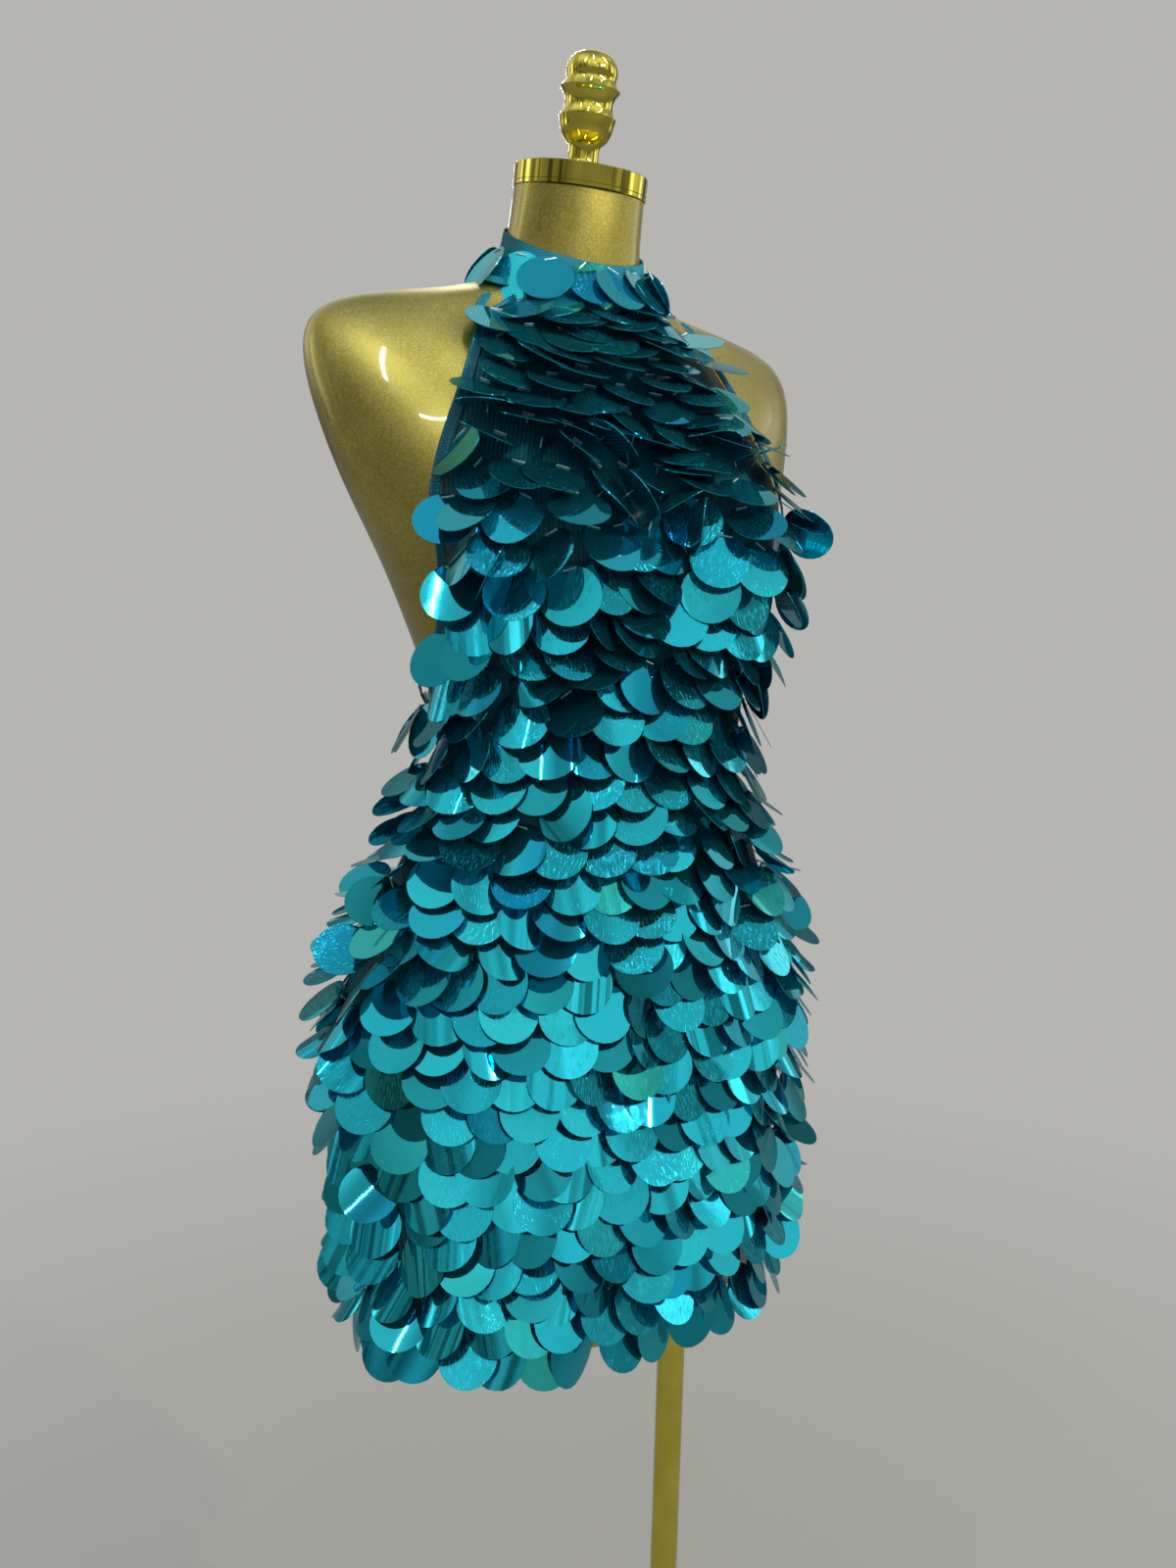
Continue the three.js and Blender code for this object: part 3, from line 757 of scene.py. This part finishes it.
# The cloth's place and normal at an angle round the figure and a height, if it is there.
def castIn(angle, z):
    way = Vector((math.cos(angle), math.sin(angle), 0))
    axis = Vector((figure["x"], spineAt(z), z))
    place, normal, _, _ = clothTree.ray_cast(axis + way * 0.5, -way, 0.5)  # from half a metre out
    return None if place is None else (place, normal)


# A height that rises from the front of the neck to its back.
def neckHeight(angle, front, rise):
    return front + rise * (1 + math.sin(angle)) / 2


def collarSeam(angle):
    return neckHeight(angle, figure["seam"], figure["seamRise"])


# lengths and heights up the cloth, from the hem, for directions all round
meridians = [math.radians(a) for a in range(0, 360, 3)]
heights = np.arange(0.61, 1.41, 0.003)
columns = []
for angle in meridians:
    column, length, last = [], 0.0, None
    for z in heights:
        hit = castIn(angle, z) if z < collarSeam(angle) else None
        if hit is None and not column:
            continue
        if hit is None:
            break
        if last is not None:
            length += (hit[0] - last).length
        last = hit[0]
        column.append((length, z))
    columns.append(column)
hems = [column[0][1] for column in columns]
hemMiddle = sum(hems) / len(hems)
print("meridians", len(columns))


def heightAtLength(column, length):
    if not column or column[-1][0] < length:
        return None
    return float(np.interp(length, *zip(*column)))


# The place and normal that a length along a run of hits falls on.
def betweenHits(run, lengths, at):
    i = min(int(np.searchsorted(lengths, at, side="right")) - 1, len(run) - 2)
    t = (at - lengths[i]) / (lengths[i + 1] - lengths[i])
    return [a.lerp(b, t) for a, b in zip(run[i], run[i + 1])]


# The hinge places of one row: runs of neighbouring meridians that reach it, divided evenly by length.
def rowPlaces(length, stagger):
    margin = paillette["edgeMargin"] * mm
    line = []
    for angle, column, hem in zip(meridians, columns, hems):
        # the hem's slope fades out by the waist
        there = length - (hem - hemMiddle) * smoothStep(0, 0.36, length)
        z = heightAtLength(column, there)
        enough = z is not None and column[-1][0] >= there + margin
        line.append(castIn(angle, z) if enough else None)
    closed = all(line)
    runs = [line + line[:1]]
    if not closed:
        gap = line.index(None)
        runs = [list(hits) for there, hits in groupby(line[gap:] + line[:gap], bool) if there]
    places = []
    for run in runs:
        if len(run) < 3:
            continue
        along = lengthsAlong(run)
        low, high = (0, along[-1]) if closed else (margin, along[-1] - margin)
        count = max(1, round((high - low) / (paillette["across"] * mm)))
        steps = np.arange(count) + stagger if closed or stagger else np.arange(count + 1)
        for at in low + (high - low) * steps / count:
            close, normal = betweenHits(run, along, at)
            places.append((clothTree.find_nearest(close)[0], normal.normalized()))
    return places


standLook = {
    # degrees off the cloth, and what each region adds
    "all": 24, "side": 8, "hipSide": 16, "waist": 8, "chest": -4, "hipFront": 2, "least": 6, "most": 70,
    "collar": 30, "collarLeast": 8,
    "hipAt": (0.93, 0.07), "waistAt": (1.12, 0.09), "chestAt": (1.2, 1.28),  # metres
    "sideAt": (35, 85), "backAt": (105, 145), "backLoss": 0.85,  # degrees round from the front
}


# How far a disc stands off the cloth, in degrees, from where it hangs.
def standOff(place, normal):
    look = standLook
    facing = math.degrees(math.acos(max(-1, min(1, -normal.y / max(1e-6, math.hypot(normal.x, normal.y))))))
    side = smoothStep(*look["sideAt"], facing) * (1 - look["backLoss"] * smoothStep(*look["backAt"], facing))
    hip, waist = around(place.z, *look["hipAt"]), around(place.z, *look["waistAt"])
    lift = look["all"] + look["side"] * side + look["hipSide"] * side * hip + look["waist"] * waist
    lift += look["chest"] * smoothStep(*look["chestAt"], place.z)
    lift += look["hipFront"] * hip * (1 - side)
    # the slope of the cloth: downwards the disc hangs free of it, and on the collar it lies over the top rows
    slope = math.degrees(math.asin(max(-1, min(1, normal.z))))
    if place.z > figure["collar"]:
        return max(look["collarLeast"], look["collar"] - slope)
    return max(min(lift, look["most"] - slope), look["least"] - slope)


# True if two flat discs cut through each other.
def crossing(a, b):
    (ca, na), (cb, nb) = a, b
    r = paillette["radius"] * mm * 0.97  # rims may just touch
    between = cb - ca
    if between.length > 2 * r:
        return False
    line = na.cross(nb)
    if line.length < 0.02:
        return abs(between.dot(na)) < paillette["thickness"] * mm
    # the line where the two planes meet, and the stretch of it inside each disc
    way = line.normalized()
    da, db = na.dot(ca), nb.dot(cb)
    base = (da * nb.cross(line) + db * line.cross(na)) / line.length_squared
    spans = []
    for c in (ca, cb):
        middle = (c - base).dot(way)
        gap = (c - base - way * middle).length
        if gap >= r:
            return False
        half = math.sqrt(r * r - gap * gap)
        spans.append((middle - half, middle + half))
    return min(spans[0][1], spans[1][1]) > max(spans[0][0], spans[1][0])


placed = []  # centre, normal of every disc so far
scatter = {
    "tilt": 7, "roll": 12, "swing": 12,  # degrees
    "unruly": 0.27, "wilder": 1.7,  # the share that hang wilder still, and by how much
    "lowest": 0.65, "uneven": 9,  # the hem's row, under that many metres, is sewn a few mm unevenly
    "neighbours": 0.075,  # metres
    "tries": 30, "calmer": 0.03, "calmest": 0.1, "further": 0.3,  # each try hangs calmer and further out
}


# A disc on its hinge: its hole, its way down, its way across, its face and its centre.
def hang(place, normal, lift, more, wild):
    normal = normal.normalized()
    down = (Vector((0, 0, -1)) + normal * normal.z).normalized()
    across = down.cross(normal).normalized()
    tilt, roll, swing = (rng.gauss(0, scatter[turn]) * wild for turn in ("tilt", "roll", "swing"))
    way, face = swung(down, normal, math.radians(standOff(place, normal) + more + tilt))
    across, face = swung(across, face, math.radians(roll))
    way, across = swung(way, across, math.radians(swing))
    hole = place + normal * lift
    centre = hole + way * (paillette["radius"] - paillette["holeInset"]) * mm
    return hole, way, across, face, centre


loose = {"collar": 0.6, "hem": 0.5, "hemAt": (0.68, 0.85), "bust": 0.6, "bustAt": (1.21, 0.08)}  # metres


# The discs hang loosest at the hem and round the bust, and closest on the collar.
def looseness(z):
    if z > figure["collar"]:
        return loose["collar"]
    return 1 + loose["hem"] * (1 - smoothStep(*loose["hemAt"], z)) + loose["bust"] * around(z, *loose["bustAt"])


# Hangs a disc where it is clear of its neighbours, or as nearly so as the tries allow.
def hangDisc(place, normal, lift):
    if place.z < scatter["lowest"]:
        place = place - Vector((0, 0, rng.uniform(0, scatter["uneven"]) * mm))
    neighbours = [p for p in placed if (p[0] - place).length < scatter["neighbours"]]
    best = None
    unruly = looseness(place.z) * (scatter["wilder"] if rng.random() < scatter["unruly"] else 1)
    for attempt in range(scatter["tries"]):
        wild = max(scatter["calmest"], 1 - attempt * scatter["calmer"])
        tried = hang(place, normal, lift, attempt * scatter["further"], wild * unruly)
        hits = sum(crossing((tried[4], tried[3]), p) for p in neighbours)
        if best is None or hits < best[0]:
            best = (hits, tried)
        if hits == 0:
            break
    placed.append((best[1][4], best[1][3]))
    return best


bendLook = {
    "flat": 1.6, "shallow": (4, 12), "tight": (14, 26),  # 1/m
    "flatShare": 0.62, "shallowShare": 0.26, "moreOnHip": 0.2, "hip": -0.45,  # the last is a face's direction
}


# Most discs are nearly flat. Some are bent into a shallow or a tight curve, more of them on the right hip.
def bentCopy(hung):
    hole, way, across, face, _ = hung
    chance = rng.random() + bendLook["moreOnHip"] * (face.x < bendLook["hip"])
    if chance < bendLook["flatShare"]:
        bend = rng.uniform(-bendLook["flat"], bendLook["flat"])
    elif chance < bendLook["flatShare"] + bendLook["shallowShare"]:
        bend = rng.choice((-1, 1)) * rng.uniform(*bendLook["shallow"])
    else:
        bend = rng.uniform(*bendLook["tight"])
    u, v, w = disc["co"].T
    turn = bend * u
    x = np.where(abs(bend) > 1e-6, np.sin(turn) / bend, u) + w * np.sin(turn)
    z = w * np.cos(turn) - (1 - np.cos(turn)) / bend
    y = (paillette["radius"] - paillette["holeInset"]) * mm - v
    return framed(np.stack([x, y, z], 1), hole, across, way, face)


pinLook = {"bar": 9, "barRadius": 0.5, "stemRadius": 0.4, "above": 0.9, "over": 0.8, "turn": 0.7}  # mm, radians
pinBar = rod(5, pinLook["barRadius"], pinLook["bar"])
pinStem = rod(4, pinLook["stemRadius"], 1, lying=False)


def pinCopies(hung, lift):
    hole, way, across, face, _ = hung
    turn = rng.uniform(-pinLook["turn"], pinLook["turn"])
    barWay = swung(across, way, turn)[0].normalized()
    bar = framed(pinBar["co"], hole + face * pinLook["above"] * mm, barWay, face.cross(barWay), face)
    over = pinLook["over"]
    foot = hole + face * (over / 2) * mm - face * lift / 2
    stem = framed(pinStem["co"] * (1, 1, lift / mm + over), foot, across, way, face)
    return bar, stem


# Hangs rows of discs in place of the solids. Every other disc goes first, under its neighbours.
def hangRows(name, rows, nodes):
    copies, bars, stems, conflicts = [], [], [], 0
    for places in rows:
        order = list(range(0, len(places), 2)) + list(range(1, len(places), 2))
        for i in order:
            place, normal = places[i]
            lift = paillette["lift"][i % 2] * mm
            hits, hung = hangDisc(place, normal, lift)
            conflicts += hits > 0
            copies.append(bentCopy(hung))
            bar, stem = pinCopies(hung, lift)
            bars.append(bar)
            stems.append(stem)
    piece = joined(name, disc, copies)
    count = len(disc["co"])
    tone = lambda: min(1, max(0, rng.gauss(*paillette["tone"])))
    for attribute, draw in (("tone", tone), ("wear", rng.random)):
        values = np.repeat([draw() for _ in copies], count).astype(np.float32)
        piece.data.attributes.new(attribute, "FLOAT", "POINT").data.foreach_set("value", values)
    flat = disc["co"][:, :2] / (2 * paillette["radius"] * mm)
    shifted = np.concatenate([flat + (rng.uniform(0, 40), rng.uniform(0, 40)) for _ in copies])
    uv = shifted[cornerVertices(piece.data)].astype(np.float32)
    piece.data.uv_layers.new(name="film").data.foreach_set("uv", uv.ravel())
    finish(piece, [film, cutEdgeHighlight], "paillette_film", *nodes, smooth=35)
    for small in (joined(f"{name}_pins", pinBar, bars), joined(f"{name}_pin_stems", pinStem, stems)):
        finish(small, nylon, "paillette_film", smooth=60)
    print(name, len(copies), "discs", conflicts, "still crossing")


numbered = [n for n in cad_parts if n.startswith("paillettes_row_") and n[-1].isdigit()]
cadRows = sorted(numbered, key=lambda n: int(n.split("_")[-1]))
longest = max(column[-1][0] for column in columns if column)
rows, length, number = [], paillette["firstRow"] * mm, 0
while length < longest - 5 * mm:
    rows.append(rowPlaces(length, 0.5 * (number % 2)))
    length += paillette["pitch"] * mm
    number += 1
# the narrow top of the front beside the neck, which no run from the hem reaches
gapRows = {
    "below": (74, 52, 30, 9), "clear": 19,  # mm under the collar's seam, and from any other disc's hole
    "round": (150, 391, 1.5), "beside": 0.06,  # degrees, and how many radians of cloth are needed beside it
}
for below in gapRows["below"]:
    taken, row = [place for r in rows for place, _ in r], []
    for a in np.arange(*gapRows["round"]):
        angle = math.radians(float(a))
        z = collarSeam(angle) - below * mm
        hit, ahead, behind = (castIn(angle + beside, z) for beside in (0, gapRows["beside"], -gapRows["beside"]))
        if hit and ahead and behind and all((hit[0] - t).length > gapRows["clear"] * mm for t in taken):
            row.append(hit)
            taken.append(hit[0])
    rows.append(row)
print("rows", [len(r) for r in rows])
skirt = {"top": 1.01, "nodes": 12}  # metres, and how many of the rows' solids
whole = sum(1 for r in rows if sum(p[0].z for p in r) / max(1, len(r)) < skirt["top"])
hangRows("paillettes_skirt", rows[:whole], cadRows[: skirt["nodes"]])
hangRows("paillettes_bodice", rows[whole:], cadRows[skirt["nodes"] :])

# one row round the collar, open at centre back
collarRow = {"back": 1.431, "front": 1.404, "closure": 26, "across": 22.2}  # metres, degrees, mm
collarLine = []
for a in np.arange(90 + collarRow["closure"], 450 - collarRow["closure"] + 0.1, 3):
    angle = math.radians(float(a))
    z = neckHeight(angle, collarRow["front"], collarRow["back"] - collarRow["front"])
    collarLine.append(castIn(angle, z))
collarLine = [hit for hit in collarLine if hit]
run = lengthsAlong(collarLine)
count = round(run[-1] / (collarRow["across"] * mm))
collarHinges = [betweenHits(collarLine, run, at) for at in np.linspace(0, run[-1], count + 1)]
hangRows("paillettes_collar", [collarHinges], ["paillettes_row_collar"])


# floor, light and camera
startFresh()
bpy.ops.mesh.primitive_circle_add(vertices=96, radius=30, fill_type="NGON")
floor = bpy.context.object
floor.name = "floor"
floorPaint, add, surface = newMaterial("matt_floor_paint", Base_Color=linear("#9F9E9A"), Roughness=0.9)
# the painted floor runs on into the pale wall, with no line between them
wallEdge = {"from": 0.2, "to": 2.4, "least": 0.3}  # metres from the middle
where = add("TexCoord").outputs["Object"]
across = add("VectorMath", links={0: where}, operation="LENGTH").outputs["Value"]
limits = {"From Min": wallEdge["from"], "From Max": wallEdge["to"], "To Min": wallEdge["least"]}
fade = add("MapRange", limits, {"Value": across}, interpolation_type="SMOOTHSTEP")
seen = add("LightPath").outputs["Is Camera Ray"]
fade = add("Math", links={0: fade, 1: seen}, operation="MULTIPLY")
glow = add("Emission", {"Color": linear("#B6B5B1")})
faded = add("MixShader", links={0: fade, 1: surface, 2: glow})
feed(surface.id_data.nodes["Material Output"], {"Surface": faded})
floor.data.materials.append(floorPaint)
floor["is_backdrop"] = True

room = {
    "wall": "#B6B5B1", "tints": [(0.82, "#FFFFF8"), (0.95, "#CBD8EC")], "strength": 1.38,
    # heights, from straight down to straight up, and how bright they are
    "band": [(0.0, 0.35), (0.06, 0.8), (0.16, 0.95), (0.84, 0.95), (0.93, 0.88), (1.0, 0.8)],
    "front": (-0.42, -0.91, 0), "behind": 0.5,  # brightest before the figure, and how much is left behind it
    "panels": [(0.4, 0.5), (0.52, 1.0)], "strips": [(0.47, 0.3), (0.5, 1.0), (0.6, 1.0), (0.63, 2.6)],
    "panelScale": 1.7, "stripScale": 2.6, "turn": 0.4,
    "left": (-0.95, -0.3, 0), "open": 0.45,
}
world = bpy.data.worlds.new("room")
bpy.context.scene.world = world
world.use_nodes = True
world.node_tree.nodes.clear()
add = partial(addNode, world.node_tree)
way = add("TexCoord").outputs["Generated"]
height = add("SeparateXYZ", links={0: way}).outputs
# what the pieces reflect and are lit by: dim low down and overhead, bright between, brighter before the figure
band = add("ValToRGB", None, {"Fac": height["Z"]}, room["band"])
ahead = add("VectorMath", {1: room["front"]}, {0: way}, operation="DOT_PRODUCT").outputs["Value"]
before = add("MapRange", {"From Min": -1.0, "To Min": room["behind"]}, {"Value": ahead})
# soft panels and dim gaps between them, some 30 degrees wide
panels = add("TexNoise", {"Scale": room["panelScale"], "Detail": 1.0}, {"Vector": way})
panels = add("ValToRGB", None, {"Fac": panels}, room["panels"])
# upright strips of light and dark, some 12 degrees wide, from the horizon to 35 degrees up
bearing = add("Math", links={0: height["Y"], 1: height["X"]}, operation="ARCTAN2")
bearing = add("Math", {1: room["turn"]}, {0: bearing}, operation="ADD")
grain = {"Scale": room["stripScale"], "Detail": 2.0}
strips = add("TexNoise", grain, {"W": bearing}, noise_dimensions="1D")
strips = add("ValToRGB", None, {"Fac": strips}, room["strips"])
low = add("MapRange", {"From Min": 0.6, "From Max": 0.42}, {"Value": height["Z"]})
even = add("MapRange", {"From Min": 0.95, "From Max": 0.86}, {"Value": ahead})
low = add("Math", links={0: low, 1: even}, operation="MULTIPLY")
strips = add("Mix", {2: 1.0}, {0: low, 3: strips}, data_type="FLOAT")
# a dark, open part of the room to the left
left = add("VectorMath", {1: room["left"]}, {0: way}, operation="DOT_PRODUCT").outputs["Value"]
limits = {"From Min": 0.6, "From Max": 0.9, "To Min": 1.0, "To Max": room["open"]}
aside = add("MapRange", limits, {"Value": left})
light = band
for part in (before, panels, strips, aside):
    light = add("Math", links={0: light, 1: part}, operation="MULTIPLY")
light = add("Math", {1: room["strength"]}, {0: light}, operation="MULTIPLY")
tint = add("ValToRGB", None, {"Fac": height["Z"]}, room["tints"])
roomLight = add("Background", links={"Color": tint, "Strength": light})
plainWall = add("Background", {"Color": linear(room["wall"]), "Strength": 1.0})
seen = add("LightPath").outputs["Is Camera Ray"]
both = add("MixShader", links={0: seen, 1: roomLight, 2: plainWall})
add("OutputWorld", links={"Surface": both})

lamps = [  # name, place, aimed at, size, power, colour, spread in degrees
    ("key", (1.3, -2.2, 2.6), (-0.05, 0, 1.1), (0.08, 0.08), 30, "#FFF6E8", 180),
    ("neck_light", (0.6, -1.9, 2.1), (-0.09, 0, 1.47), (0.25, 0.25), 0.5, "#FFFBF6", 10),
    ("tube_back", (0.4, 1.7, 2.6), (-0.1, 0, 1.1), (0.03, 1.4), 8, "#FFF9F0", 180),
]
for side, place in (("left", (-1.2, -0.75, 2.7)), ("middle", (-0.3, -0.8, 2.75)), ("right", (0.7, -0.7, 2.7))):
    lamps.append((f"tube_{side}", place, (-0.1, -0.2, 1.2), (0.03, 0.7), 4, "#F4FAFF", 180))
for name, place, aim, size, power, colour, spread in lamps:
    startFresh()
    bpy.ops.object.light_add(type="AREA", location=place)
    lamp = bpy.context.object
    lamp.name = name
    lamp.data.shape = "RECTANGLE"
    lamp.data.size, lamp.data.size_y = size
    lamp.data.energy = power
    lamp.data.spread = math.radians(spread)
    lamp.data.color = linear(colour)[:3]
    lamp.rotation_euler = (Vector(aim) - Vector(place)).to_track_quat("-Z", "Y").to_euler()
    lamp.visible_camera = False

view = {
    "azimuth": -25, "pitch": 6.8, "roll": 1.42, "distance": 0.9, "height": 1.13,  # degrees and metres
    "focal": 1202, "tall": 1600,  # pixels
    "sensor": 36,  # mm
}
az, pitch, roll = (math.radians(view[k]) for k in ("azimuth", "pitch", "roll"))
level = Vector((-math.sin(az), math.cos(az), 0))
right = Vector((math.cos(az), math.sin(az), 0))
up, forward = swung(Vector((0, 0, 1)), level, pitch)
cameraX, cameraY = swung(right, up, roll)
place = Vector((figure["x"], 0, 0)) - view["distance"] * level + Vector((0, 0, view["height"]))
camera = bpy.data.objects.new("camera", bpy.data.cameras.new("camera"))
bpy.context.scene.collection.objects.link(camera)
camera.matrix_world = Matrix.Translation(place) @ Matrix((cameraX, cameraY, -forward)).transposed().to_4x4()
camera.data.sensor_width = view["sensor"]
camera.data.lens = view["sensor"] * view["focal"] / view["tall"]
camera.data.clip_start = 0.05
bpy.context.scene.camera = camera
bpy.context.scene.view_settings.view_transform = "Standard"

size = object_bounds()
print("size", [[round(c, 4) for c in v] for v in size])
